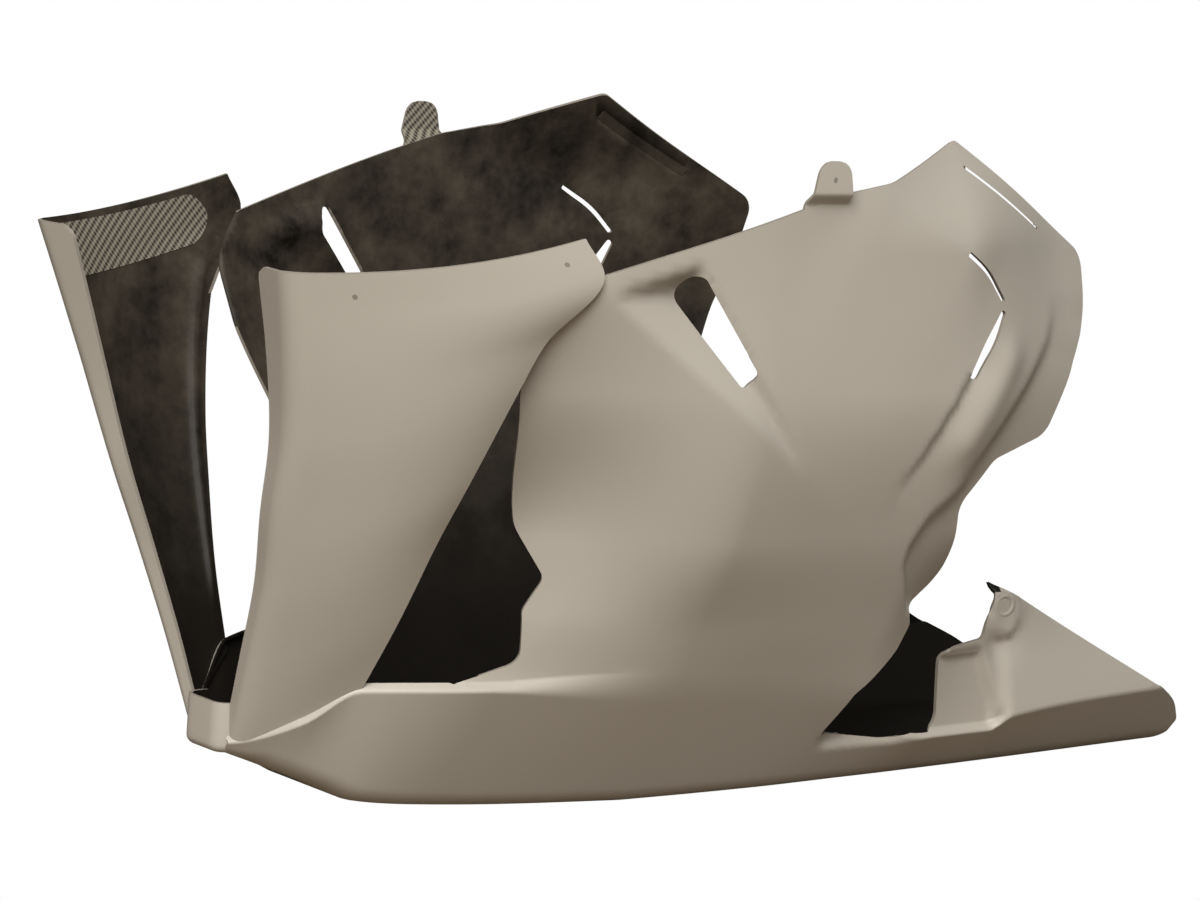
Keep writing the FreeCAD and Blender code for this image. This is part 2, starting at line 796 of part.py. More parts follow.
# openings in the panel, the slit leaning with the flow of air
vent = extrude_left("vent", rounded_wire(vent_corners), past_side)
gill_top = extrude_left("gill_top", rounded_wire(gill_top_corners), past_side)
gill_low = extrude_left("gill_low", rounded_wire(gill_low_corners), past_side)
slit = extrude_left("slit", rounded_wire(slit_corners), "dimensions.slit_reach")
lean = math.radians(size["slit_lean"])
slit.Dir = Vector(-math.sin(lean), -math.cos(lean), 0)
slit.setExpression("LengthRev", "dimensions.slit_reach")
slit.Base.Placement.Base = Vector(0, -size["slit_half_width"], 0)
openings = doc.addObject("Part::MultiFuse", "openings")
openings.Shapes = [vent, gill_top, gill_low, slit]
left_half = doc.addObject("Part::Cut", "left_half")
left_half.Base = left_body
left_half.Tool = openings
right_half = doc.addObject("Part::Mirroring", "right_half")
right_half.Source = left_half
right_half.Base = Vector(0, 0, 0)
right_half.Normal = Vector(0, 1, 0)

# wall across the front of the belly
lip = doc.addObject("Part::Box", "front_lip")
lip.setExpression("Length", "dimensions.lip_wall")
lip.setExpression("Width", "2 * (dimensions.lip_half_width - dimensions.lap)")
lip.setExpression("Height", "dimensions.lip_height - dimensions.lap / 2")
lip.Placement.Base = Vector(size["lip_x"] - size["lap"], size["lap"] - size["lip_half_width"],
                            size["lip_bottom"] + size["lap"] / 2)

shell = doc.addObject("Part::MultiFuse", "fairing_shell")
shell.Shapes = [left_half, right_half, lip]
shell.Label = "fairing_shell"
doc.recompute()

for item in doc.Objects:
    if {"Invalid", "Error"} & set(item.State):
        raise RuntimeError(item.Name + " did not build")
    if hasattr(item, "Shape") and (item.Shape.isNull() or not item.Shape.isValid()):
        raise RuntimeError(item.Name + " has no valid shape")
if len(shell.Shape.Solids) != 1:
    raise RuntimeError("the shell is not one solid")
os.makedirs("parts", exist_ok=True)
shell.Shape.exportStep("parts/fairing_shell.step")
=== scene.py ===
import bpy
import bmesh
import math
from functools import lru_cache
import numpy as np
from mathutils import Matrix, Vector
from mathutils.geometry import delaunay_2d_cdt


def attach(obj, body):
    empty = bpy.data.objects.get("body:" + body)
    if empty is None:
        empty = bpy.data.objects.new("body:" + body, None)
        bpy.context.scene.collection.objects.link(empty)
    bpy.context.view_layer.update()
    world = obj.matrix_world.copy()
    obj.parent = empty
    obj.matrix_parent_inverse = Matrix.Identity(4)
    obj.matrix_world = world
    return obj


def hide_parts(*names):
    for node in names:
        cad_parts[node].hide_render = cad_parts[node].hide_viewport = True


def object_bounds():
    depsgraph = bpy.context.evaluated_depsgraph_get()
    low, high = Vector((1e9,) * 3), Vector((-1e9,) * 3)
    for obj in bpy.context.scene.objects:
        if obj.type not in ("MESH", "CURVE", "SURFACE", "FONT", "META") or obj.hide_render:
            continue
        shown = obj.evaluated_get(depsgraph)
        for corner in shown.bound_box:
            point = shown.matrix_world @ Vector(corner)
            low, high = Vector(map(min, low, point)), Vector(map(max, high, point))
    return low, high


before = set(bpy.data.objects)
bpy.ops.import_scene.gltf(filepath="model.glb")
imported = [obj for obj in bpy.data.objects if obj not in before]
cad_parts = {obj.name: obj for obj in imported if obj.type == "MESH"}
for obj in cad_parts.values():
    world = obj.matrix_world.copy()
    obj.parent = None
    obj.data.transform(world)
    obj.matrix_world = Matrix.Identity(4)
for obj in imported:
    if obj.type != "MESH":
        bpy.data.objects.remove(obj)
cadLow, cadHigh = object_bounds()
print("frame loaded")

# Shapes are worked out in millimetres, with half widths from the middle plane.
mm = 0.001
wall = 2.4
weld = 0.02
tailX = cadHigh.x / mm


def ease(t):
    t = min(1.0, max(0.0, t))
    return t * t * (3 - 2 * t)


def mix(a, b, t):
    return a + (b - a) * t


def rail(stations, values, at):
    # smooth curve through the stations that keeps their rises and falls
    if at <= stations[0]:
        return values[0]
    if at >= stations[-1]:
        return values[-1]
    count = len(stations)
    gaps = [stations[i + 1] - stations[i] for i in range(count - 1)]
    slopes = [(values[i + 1] - values[i]) / gaps[i] for i in range(count - 1)]
    bends = [slopes[0]]
    for i in range(1, count - 1):
        if slopes[i - 1] * slopes[i] <= 0:
            bends.append(0.0)
        else:
            before = 2 * gaps[i] + gaps[i - 1]
            after = gaps[i] + 2 * gaps[i - 1]
            bends.append((before + after) / (before / slopes[i - 1] + after / slopes[i]))
    bends.append(slopes[-1])
    i = max(k for k in range(count - 1) if stations[k] <= at)
    t = (at - stations[i]) / gaps[i]
    return (values[i] * (1 + 2 * t) * (1 - t) ** 2 + gaps[i] * bends[i] * t * (1 - t) ** 2
            + values[i + 1] * t * t * (3 - 2 * t) - gaps[i] * bends[i + 1] * t * t * (1 - t))


def bezier(a, control, b, t):
    return tuple((1 - t) ** 2 * p + 2 * t * (1 - t) * q + t * t * r for p, q, r in zip(a, control, b))


def spaced(start, end, pitch):
    count = max(1, round((end - start) / pitch))
    return [mix(start, end, k / count) for k in range(count)]


# Belly and side panel: half widths and heights station by station along the length
side = {
    "front": -380,
    "heel": 6,
    "heelRun": 30,
    "stations": (-386, -318, -240, -100, 60, 190, tailX),
    "floorHalf": (15, 47, 63, 82, 92, 92, 88),
    "floorStations": (-386, -318, -294, -240, -90),
    "floorHeight": (50, 23, 12.5, 6.8, 0),
    "ridgeStations": (-386, -376, -347, -318, -240, -100, 60, 150, 220, 233, tailX),
    "ridgeHalf": (20, 29, 61, 82, 118, 138, 141, 125, 123, 131, 128),
    "ridgeHeight": (54, 56, 73, 96, 98, 92, 76, 35, 34.5, 45, 55),
    "cornerRadius": 15,
    "cornerMost": 0.45,
    "softStations": (-240, -100, 60, 160),
    "soft": (2.5, 14, 14, 2.5),
    "softMost": 0.3,
    "ledge": 7,
    "ledgeRise": 4,
    "ledgeFade": 50,
    "reliefRise": 30,
    "joggleRise": 5,
    "levels": (135, 200, 300, 395, 472),
    "levelHalf": (
        (30, 88, 114, 158, 166, 122, 112),
        (30, 100, 119, 190, 192, 176, 112),
        (30, 136, 168, 212, 215, 196, 112),
        (30, 178, 198, 215, 215, 178, 112),
        (30, 178, 204, 220, 184, 150, 112),
    ),
}
shoulder = {"start": (-229, 362), "end": (71, 152), "entry": 60, "height": 5, "front": 60, "back": 26,
            "sharp": 3}
recess = {"slope": 0.42, "deepest": 13, "wall": 1.1, "soft": 1.5,
          "top": ((-233, 365), (-172, 384)), "brow": ((-168, 386), (-62, 247))}
gill = {"line": ((79, 318.5), (74, 310), (51, 273), (38, 250), (26, 233), (20, 211)),
        "depth": 4.5, "edge": 2.5, "spread": 26, "fade": (0.35, 1.0), "entry": (350, 40)}
fold = {"line": ((-13, 432), (59, 393)), "height": 3, "front": 50, "back": 30, "sharp": 2, "end": 45}
blister = {"head": (112, 316), "foot": (82, 266), "height": 5, "width": 15, "end": 18}
lobeLip = {"line": ((174, 362), (174, 343), (168, 325), (148, 297), (129, 274), (108, 247), (90, 229),
                    (66, 210), (56, 189), (57, 175), (84, 134)),
           "steps": (0, 1.5, 3.5, 6.5, 8, 8, 8, 8, 8, 8, 8), "flank": 13, "edge": 2, "wall": 9,
           "wallFrom": 0.45, "wallRun": 0.2, "low": (134, 10)}
joggle = {"high": (206, 90), "low": (228, 40), "depth": 7, "run": 7, "top": (97, 6), "front": (110, 20)}
shelf = {"height": 32, "front": (52, 66), "back": (118, 146), "slope": 1.0, "most": 8, "top": (43, 8)}
pad = {"at": (226, 122), "long": 21, "wide": 18, "height": 2.5, "edge": 4,
       "hollow": (224, 99), "hollowDepth": 5, "hollowReach": 14, "hollowEdge": 1.1, "hollowSharp": 6}


@lru_cache(maxsize=None)
def section(x):
    # floor edge, ridge and the panel's half widths at one station
    stations = side["stations"]
    floor = (rail(stations, side["floorHalf"], x), rail(side["floorStations"], side["floorHeight"], x))
    crest = tuple(rail(side["ridgeStations"], side[key], x) for key in ("ridgeHalf", "ridgeHeight"))
    halves = [crest[0]] + [rail(stations, row, x) for row in side["levelHalf"]]
    inset = side["ledge"] * (1 - ease((x - stations[2]) / (stations[3] - stations[2])))
    return floor, crest, halves, inset


def across(point, start, end):
    # how far a point lies along the line from start to end, and how far to the left of it
    run = math.dist(start, end)
    ux, uz = (end[0] - start[0]) / run, (end[1] - start[1]) / run
    dx, dz = point[0] - start[0], point[1] - start[1]
    return dx * ux + dz * uz, dz * ux - dx * uz


def besideLine(point, line):
    # share of the way along a bent line, and the distance to its left
    best = None
    for k in range(len(line) - 1):
        length = math.dist(line[k], line[k + 1])
        run, off = across(point, line[k], line[k + 1])
        held = min(length, max(0.0, run))
        reach = math.hypot(run - held, off)
        if best is None or reach < best[0]:
            best = (reach, (k + held / length) / (len(line) - 1), math.copysign(reach, off))
    return best[1], best[2]


def softLeast(values, soft, farthest=40):
    # smallest value with rounded changes; far values are held so that exp stays finite
    held = [max(-farthest * soft, v) for v in values]
    return -soft * math.log(sum(math.exp(-v / soft) for v in held))


def shoulderRelief(x, z):
    start, end = shoulder["start"], shoulder["end"]
    run, off = across((x, z), start, end)
    fade = 1 - ease(run / math.dist(start, end))
    spread = shoulder["front"] if off < 0 else shoulder["back"]
    away = math.hypot(off, shoulder["sharp"]) - shoulder["sharp"]
    crest = shoulder["height"] * fade * math.exp(-away / spread) * ease(run / shoulder["entry"] + 1)
    toTop = -across((x, z), *recess["top"])[1]
    toBrow = -across((x, z), *recess["brow"])[1]
    ramp = min(recess["slope"] * off, recess["deepest"])
    depth = softLeast((ramp, recess["wall"] * toTop, recess["wall"] * toBrow), recess["soft"])
    return crest - max(0.0, depth)


def gillRelief(x, z):
    share, off = besideLine((x, z), gill["line"])
    rise = ease(off / gill["edge"]) * math.exp(-max(0.0, off) / gill["spread"])
    fadeStart, fadeEnd = gill["fade"]
    fade = 1 - ease((share - fadeStart) / (fadeEnd - fadeStart))
    fade *= ease((gill["entry"][0] - z) / gill["entry"][1])
    valley = gill["depth"] * rise * fade
    run, beside = across((x, z), blister["head"], blister["foot"])
    length = math.dist(blister["head"], blister["foot"])
    past = max(0.0, -run, run - length)
    swell = math.exp(-(beside / blister["width"]) ** 2 - (past / blister["end"]) ** 2)
    return blister["height"] * swell - valley


def foldRelief(x, z):
    # soft crease from the panel's top edge to the gills
    run, off = across((x, z), *fold["line"])
    away = math.hypot(off, fold["sharp"]) - fold["sharp"]
    spread = fold["back"] if off > 0 else fold["front"]
    past = run - math.dist(*fold["line"])
    ends = (1 - ease(past / fold["end"])) * ease(run / fold["end"] + 1)
    return fold["height"] * math.exp(-away / spread) * ends


def lipRelief(x, z):
    share, off = besideLine((x, z), lobeLip["line"])
    marks = [k / (len(lobeLip["steps"]) - 1) for k in range(len(lobeLip["steps"]))]
    step = rail(marks, lobeLip["steps"], share)
    upper = ease((lobeLip["flank"] + off) / lobeLip["flank"])
    lower = ease((lobeLip["edge"] + off) / (lobeLip["edge"] + lobeLip["wall"]))
    held = ease((z - lobeLip["low"][0]) / lobeLip["low"][1])
    steep = ease((share - lobeLip["wallFrom"]) / lobeLip["wallRun"])
    return -step * mix(upper, lower, steep) * held


def joggleRelief(x, z):
    off = across((x, z), joggle["high"], joggle["low"])[1]
    below = ease((joggle["top"][0] - z) / joggle["top"][1])
    front = ease((x - joggle["front"][0]) / joggle["front"][1])
    inset = -joggle["depth"] * ease(0.5 - off / joggle["run"]) * front * below
    reach = math.hypot((x - pad["at"][0]) / pad["wide"], (z - pad["at"][1]) / pad["long"])
    raised = pad["height"] * ease((1 - reach) * pad["wide"] / pad["edge"])
    hollow = math.dist((x, z), pad["hollow"]) / pad["hollowReach"]
    beyond = 1 - ease((pad["hollowEdge"] - reach) * pad["hollowSharp"])
    return inset + raised - pad["hollowDepth"] * math.exp(-hollow * hollow) * beyond


def panelHalf(x, z):
    floor, crest, halves, inset = section(x)
    rise = z - crest[1]
    base = rail((crest[1],) + side["levels"], halves, z)
    base -= inset * ease(rise / side["ledgeRise"]) * (1 - ease(rise / side["ledgeFade"]))
    relief = shoulderRelief(x, z) + gillRelief(x, z) + lipRelief(x, z) + foldRelief(x, z)
    base += relief * ease(rise / side["reliefRise"])
    return base + joggleRelief(x, z) * ease(rise / side["joggleRise"])


def shelfDepth(x, z):
    # the strip turns inwards under the rear notch
    along = ease((x - shelf["front"][0]) / (shelf["front"][1] - shelf["front"][0]))
    along *= 1 - ease((x - shelf["back"][0]) / (shelf["back"][1] - shelf["back"][0]))
    along *= 1 - ease((z - shelf["top"][0]) / shelf["top"][1])
    return along * min(shelf["most"], max(0.0, shelf["slope"] * (z - shelf["height"])))


# A point of the side is named by x and s: s is -100 in the middle of the floor, 0 at the floor's edge,
# 100 on the ridge, and above that the height over the ridge.
def sidePoint(x, s):
    floor, crest, halves, inset = section(x)
    strip = math.dist(floor, crest)
    turn = min(side["cornerRadius"], side["cornerMost"] * strip)
    turnLow, turnHigh = -100 * turn / floor[0], 100 * turn / strip
    soft = min(rail(side["softStations"], side["soft"], x), side["softMost"] * strip)
    softLow = 100 - 100 * soft / strip

    def onStrip(share):
        return tuple(mix(a, b, share) for a, b in zip(floor, crest))

    if s <= turnLow:
        w, z = floor[0] * (1 + s / 100), floor[1]
    elif s < turnHigh:
        start = (floor[0] - turn, floor[1])
        w, z = bezier(start, floor, onStrip(turn / strip), (s - turnLow) / (turnHigh - turnLow))
    elif s <= softLow:
        w, z = onStrip(s / 100)
    elif s < 100 + soft:
        top = (panelHalf(x, crest[1] + soft), crest[1] + soft)
        w, z = bezier(onStrip(softLow / 100), crest, top, (s - softLow) / (100 + soft - softLow))
    else:
        z = crest[1] + s - 100
        w = panelHalf(x, z)
    return Vector((x, shelfDepth(x, z) - w, z))


def sideParam(x, z):
    floor, crest, halves, inset = section(x)
    if z >= crest[1]:
        return x, 100 + z - crest[1]
    return x, 100 * (z - floor[1]) / (crest[1] - floor[1])


rounding = {"pitch": 3.0, "most": 0.48, "sharp": 0.2}


def roundedLine(corners, closed, pitch=rounding["pitch"]):
    # points along straight runs and corner arcs; each corner is x, z and its rounding
    line = []
    count = len(corners)
    for i, (x, z, radius) in enumerate(corners):
        here = Vector((x, z))
        if not closed and i in (0, count - 1):
            line.append(here)
            continue
        back = Vector(corners[i - 1][:2]) - here
        ahead = Vector(corners[(i + 1) % count][:2]) - here
        half = back.angle(ahead) / 2
        most = rounding["most"] * min(back.length, ahead.length)
        reach = min(radius / math.tan(half), most)
        if reach <= rounding["sharp"]:
            line.append(here)
            continue
        back.normalize()
        ahead.normalize()
        start, end = here + back * reach, here + ahead * reach
        centre = here + (back + ahead).normalized() * (reach / math.cos(half))
        sweep = (start - centre).angle_signed(end - centre)
        steps = max(2, round(2 * reach / pitch))
        for k in range(steps + 1):
            line.append(centre + Matrix.Rotation(-sweep * k / steps, 2) @ (start - centre))
    dense = []
    for i in range(len(line) if closed else len(line) - 1):
        a, b = line[i], line[(i + 1) % len(line)]
        steps = max(1, math.ceil((b - a).length / pitch))
        dense += [a.lerp(b, k / steps) for k in range(steps)]
    if not closed:
        dense.append(line[-1])
    return dense


# Corners of the side's edge from the tail round to the front, each x, z and its rounding
outline = {
    "tailHeel": (tailX - 9, -4, 0), "tailTip": (tailX + 5, 15, 12), "tailBend": (423, 39, 90),
    "finBack": (245, 128.5, 10), "finTip": (211.5, 142.8, 0.3), "finNick": (214, 135.5, 1),
    "finFront": (208.5, 120, 18), "finRoot": (206, 103, 5),
    "padTop": (163, 98, 13), "padFoot": (168, 37, 14),
    "notchMid": (112, 36.5, 60), "notchToe": (52, 44, 2),
    "flankFoot": (62, 75, 14), "flankLow": (88, 108, 12),
    "flankBack": (95, 127, 5), "flankHeel": (87, 137, 4),
    "flangeLow": (121, 158, 15), "flangeHigh": (102, 216, 16),
    "lobeLow": (126, 248, 16), "lobeBack": (179, 263, 20),
    "lobeSide": (210, 346, 60), "lobeTop": (213, 388, 17),
    "panelPeak": (68, 466.5, 9), "panelDip": (-8, 440, 40), "panelBrow": (-60, 431, 60),
    "panelHead": (-248, 375, 3), "panelThroat": (-275, 345, 30),
    "throatTop": (-269, 300, 60), "throatMid": (-236, 207, 40),
    "bumpTop": (-212, 172, 9), "bumpLow": (-223, 150, 8),
    "throatLow": (-219, 115, 10), "ledgeRear": (-262, 101, 0),
}
holes = {
    "vent": ((-168, 383, 10), (-114, 313, 7), (-122.5, 303, 7), (-180, 365, 11)),
    "gillTop": ((60, 394.5, 1), (86, 380, 80), (105.5, 360, 1),
                (102, 358.5, 1), (83.5, 377, 80), (58, 391.5, 1)),
    "gillLow": ((107, 352, 2), (98, 332, 120), (82, 306.5, 3.5),
                (73, 309.5, 3.5), (86, 333, 120), (102, 354, 2)),
    "slit": ((70.5, 450, 0.7), (153, 407.8, 0.7), (152.3, 406, 0.7), (69.8, 448.2, 0.7)),
}
# Grid runs are start, pitch and end
grid = {
    "columns": ((side["front"], 4, -318), (-318, 5, -230), (-230, 3.5, -100),
                (-100, 6.5, 30), (30, 3.6, 240), (240, 8, tailX)),
    "rows": ((-100, 12, -40), (-40, 3.5, 40), (40, 4, 90), (90, 1, 112), (112, 5, 480)),
    "ledgePitch": 3, "endPitch": 5, "middlePitch": 7, "holePitch": 2.0,
    "cell": 4, "clear": 1.3, "closest": 1e-4,
}


def inside(points, loop):
    # even-odd test of many points against one closed loop
    px, py = points[:, 0], points[:, 1]
    flags = np.zeros(len(points), bool)
    for (ax, ay), (bx, by) in zip(loop, np.roll(loop, -1, axis=0)):
        if ay != by:
            crossing = (ay > py) != (by > py)
            flags ^= crossing & (px < (bx - ax) * (py - ay) / (by - ay) + ax)
    return flags


def clearOf(edge, points):
    # the points that keep their distance from the side's edge and openings
    cell = grid["cell"]
    cells = {}
    for x, s in edge:
        cells.setdefault((int(x // cell), int(s // cell)), []).append((x, s))
    kept = []
    for x, s in points:
        column, row = int(x // cell), int(s // cell)
        around = [cells.get((column + i, row + j), ()) for i in (-1, 0, 1) for j in (-1, 0, 1)]
        kept.append(all(math.dist((x, s), spot) > grid["clear"] for spots in around for spot in spots))
    return points[np.array(kept)]


def onSide(points, loops):
    # within the side's edge and in none of its openings
    keep = inside(points, loops[0])
    for loop in loops[1:]:
        keep &= ~inside(points, loop)
    return keep


def sideLoops():
    # the side's edge and its openings, as x and s
    top = [sideParam(p.x, p.y) for p in roundedLine(list(outline.values()), False)]
    top = [p for p in top if p[0] <= tailX and p[1] > 0]
    front, ledgeEnd = side["front"], 100 + side["ledgeRise"]
    tail = spaced(-100, top[0][1], grid["endPitch"])
    rim = [(tailX - side["heel"] * ease(s / side["heelRun"] + 1), s) for s in tail] + top
    rim += [(x, ledgeEnd) for x in reversed(spaced(front, outline["ledgeRear"][0], grid["ledgePitch"]))]
    rim += [(front, s) for s in reversed(spaced(-100, ledgeEnd, grid["endPitch"]))]
    rim += [(x, -100) for x in spaced(front, tailX, grid["middlePitch"])[1:]]
    loops = [np.array(rim)]
    for corners in holes.values():
        loops.append(np.array([sideParam(p.x, p.y) for p in roundedLine(corners, True, grid["holePitch"])]))
    return loops


def sideMesh():
    # the left side as triangles between its edge, its openings and a grid of points
    loops = sideLoops()
    edge = np.vstack(loops)
    columns = [x for start, pitch, end in grid["columns"] for x in spaced(start, end, pitch)] + [tailX]
    rows = [s for start, pitch, end in grid["rows"] for s in spaced(start, end, pitch)]
    points = np.array([(x, s) for x in columns for s in rows])
    points = clearOf(edge, points[onSide(points, loops)])
    verts = [Vector(p) for p in edge] + [Vector(p) for p in points]
    edges = []
    start = 0
    for loop in loops:
        edges += [(start + k, start + (k + 1) % len(loop)) for k in range(len(loop))]
        start += len(loop)
    made = delaunay_2d_cdt(verts, edges, [], 0, grid["closest"])
    flat, faces = made[0], made[2]
    middles = np.array([sum((flat[i] for i in f), Vector((0, 0))) / len(f) for f in faces])
    faces = [f for f, ok in zip(faces, onSide(middles, loops)) if ok]
    return [sidePoint(p.x, p.y) for p in flat], faces


def mirrored(points, faces):
    # both sides, joined where they meet on the middle plane
    both = [Vector(p) for p in points] + [Vector((p.x, -p.y, p.z)) for p in points]
    count = len(points)
    return both, [tuple(f) for f in faces] + [tuple(count + i for i in reversed(f)) for f in faces]


def shellMesh(name, points, faces, thickness, lean=None, ribs=None, darkSpot=None):
    # skin with an inner side and an edge all round; materials are outer, inner and edge
    bm = bmesh.new()
    for p in points:
        bm.verts.new(p * mm)
    bm.verts.ensure_lookup_table()
    for f in faces:
        bm.faces.new([bm.verts[i] for i in f])
    bmesh.ops.remove_doubles(bm, verts=bm.verts, dist=weld * mm)
    loose = [v for v in bm.verts if not v.link_faces]
    bmesh.ops.delete(bm, geom=loose, context="VERTS")
    bm.normal_update()
    bm.verts.ensure_lookup_table()
    outer = list(bm.verts)
    skins = list(bm.faces)
    rims = [e for e in bm.edges if e.is_boundary]
    innerOf = {}
    for k, v in enumerate(outer):
        shift = lean(v.co / mm) if lean and v.is_boundary else 0.0
        depth = thickness + (ribs[k] if ribs else 0.0)
        innerOf[v] = bm.verts.new(v.co - v.normal * depth * mm + Vector((shift * mm, 0, 0)))
    # faces picked by the spot test take the dark laminate: painted shade where they lie hidden
    for f in skins:
        if darkSpot and darkSpot(f.calc_center_median() / mm, False):
            f.material_index = 1
        back = bm.faces.new([innerOf[v] for v in reversed(f.verts)])
        back.material_index = 1
    # edges picked the same way take the dark laminate in place of the raw edge, as painted shade
    for e in rims:
        loop = e.link_loops[0]
        a, b = loop.vert, loop.link_loop_next.vert
        strip = bm.faces.new((b, a, innerOf[a], innerOf[b]))
        strip.material_index = 1 if darkSpot and darkSpot((a.co + b.co) / (2 * mm), True) else 2
    for f in bm.faces:
        f.smooth = True
    for e in bm.edges:
        kinds = {f.material_index for f in e.link_faces}
        e.smooth = len(kinds) < 2
    mesh = bpy.data.meshes.new(name)
    bm.to_mesh(mesh)
    bm.free()
    return mesh


sidePoints, sideFaces = mirrored(*sideMesh())
print("side", len(sidePoints), len(sideFaces))

# The long slit leans through the left wall, and a strip backs it on the right
slit = {"shift": 4.5, "reach": 3.4, "past": 2,
        "stripHalf": 3, "stripRows": 2, "stripColumns": 14, "stripWall": 0.8, "stripDepth": 2.2}
# Painted shade: edges hidden behind and under the duct and the fin's lowered tip take the dark laminate;
# uncoated laminate shows at the backed slit
shadeAndBareEdges = {"front": -370, "rear": -246, "band": (298, 374), "low": 110,
             "tipLow": 136, "tipHigh": 145, "tipFront": 205, "tipBack": 214, "tipSlope": 2}


def besideSlit(point):
    start, end = holes["slit"][0][:2], holes["slit"][1][:2]
    run, off = across((point.x, point.z), start, end)
    return -slit["past"] < run < math.dist(start, end) + slit["past"] and abs(off) <= slit["reach"]


def slitShift(point):
    return slit["shift"] if point.y < 0 and besideSlit(point) else 0.0


def shadeAndBareSpot(point, onEdge):
    low, high = shadeAndBareEdges["band"]
    # edges behind and under the duct get painted shade
    hidden = shadeAndBareEdges["front"] < point.x < shadeAndBareEdges["rear"]
    hidden = hidden and (low < point.z < high or point.z < shadeAndBareEdges["low"])
    backed = point.y > 0 and besideSlit(point)
    tipBack = shadeAndBareEdges["tipBack"] + shadeAndBareEdges["tipSlope"] * (point.z - shadeAndBareEdges["tipLow"])
    # the fin's lowered tip gets painted shade
    shadedTip = shadeAndBareEdges["tipLow"] < point.z < shadeAndBareEdges["tipHigh"]
    shadedTip = shadedTip and shadeAndBareEdges["tipFront"] < point.x < tipBack
    return onEdge and (hidden or backed) or shadedTip


sideShell = shellMesh("sideShell", sidePoints, sideFaces, wall, slitShift, None, shadeAndBareSpot)

# Duct: leading edge, rear edge and the rolled front that turns inwards
duct = {
    "nose": ((-378, 26, 53), (-386, 53, 115), (-394, 77, 166), (-405, 97, 216), (-414, 118, 267),
             (-427, 133, 319), (-443, 146, 374)),
    "rear": ((-318, 76, 90), (-311, 107, 147), (-303, 132, 203), (-296, 150, 241), (-282, 174, 301),
             (-272, 185, 333), (-242, 202, 377), (-257, 199, 401)),
    "bulgeAt": (0, 0.45, 1),
    "bulge": (3, 12, 9),
    "sag": 6,
    "noseRadius": 13,
    "noseMost": 0.3,
    "noseSteps": 12,
    "corner": 8,
    "returnAt": (0, 0.5, 1),
    "returnWidth": (14, 22, 39),
    "returnSweep": 0.15,
    "returnSteps": 6,
    "bendMost": 0.45,
    "across": 40,
    "up": 90,
    "probe": 0.01,
}


def alongPoints(points, v):
    heights = [p[2] for p in points]
    z = mix(heights[0], heights[-1], v)
    return Vector((rail(heights, [p[0] for p in points], z), rail(heights, [p[1] for p in points], z), z))


def ductPoint(u, v):
    nose, rear = alongPoints(duct["nose"], v), alongPoints(duct["rear"], v)
    point = nose.lerp(rear, u)
    hump = 4 * u * (1 - u)
    point.y += hump * rail(duct["bulgeAt"], duct["bulge"], v)
    point.z -= duct["sag"] * hump * v
    return point


def ductSides(u, v):
    # a point of the duct's skin, with the directions across and up it
    here = ductPoint(u, v)
    aside = ductPoint(u + duct["probe"], v) - here
    above = ductPoint(u, v + duct["probe"]) - here
    return here, aside.normalized(), above.normalized()


def ductLine(v):
    nose = ductPoint(0, v)
    reach = (ductPoint(1, v) - nose).length
    turn = min(duct["noseRadius"], duct["noseMost"] * reach)
    inward = Vector((duct["returnSweep"], -1, 0)).normalized()
    width = rail(duct["returnAt"], duct["returnWidth"], v)
    drop = (1 - v) * (duct["rear"][-1][2] - duct["rear"][0][2])
    corner = max(0.0, duct["corner"] - drop)
    width -= duct["corner"] - math.sqrt(duct["corner"] ** 2 - corner ** 2)
    bend = min(turn, duct["bendMost"] * width)
    first = ductPoint(turn / reach, v)
    steps = duct["returnSteps"]
    line = [nose + inward * mix(width, bend, k / steps) for k in range(steps)]
    steps = duct["noseSteps"]
    line += [Vector(bezier(nose + inward * bend, nose, first, k / steps)) for k in range(steps)]
    steps = duct["across"]
    line += [ductPoint(mix(turn / reach, 1, k / steps), v) for k in range(steps + 1)]
    return [Vector((p.x, -p.y, p.z)) for p in line]


def gridFaces(columns, rows):
    # quads of a grid stored row after row
    return [(j * columns + i, j * columns + i + 1, (j + 1) * columns + i + 1, (j + 1) * columns + i)
            for j in range(rows - 1) for i in range(columns - 1)]


ductLines = [ductLine(k / duct["up"]) for k in range(duct["up"] + 1)]
ductSkin = [p for line in ductLines for p in line]
ductPoints, ductFaces = mirrored(ductSkin, gridFaces(len(ductLines[0]), len(ductLines)))
bead = {"at": 0.9, "reach": 0.045, "height": 3.5, "low": 0.08, "lowRun": 0.1, "high": 0.84, "highRun": 0.05}


def beadHeight(column, row):
    # stiffening bead inside the duct, along its rear edge
    u = 1 - (len(ductLines[0]) - 1 - column) / duct["across"]
    v = row / duct["up"]
    ends = ease((v - bead["low"]) / bead["lowRun"]) * ease((bead["high"] - v) / bead["highRun"])
    return bead["height"] * ends * math.exp(-((u - bead["at"]) / bead["reach"]) ** 2)


ribs = [beadHeight(i, j) for j in range(len(ductLines)) for i in range(len(ductLines[0]))]
ductShell = shellMesh("ductShell", ductPoints, ductFaces, wall, None, ribs + ribs)

# Woven layer laid inside the duct's top
weave = {"left": 0.12, "right": 0.84, "low": 0.873, "high": 0.985, "round": 0.055, "blunt": 0.98,
         "lift": 0.4, "columns": 44, "rows": 20}


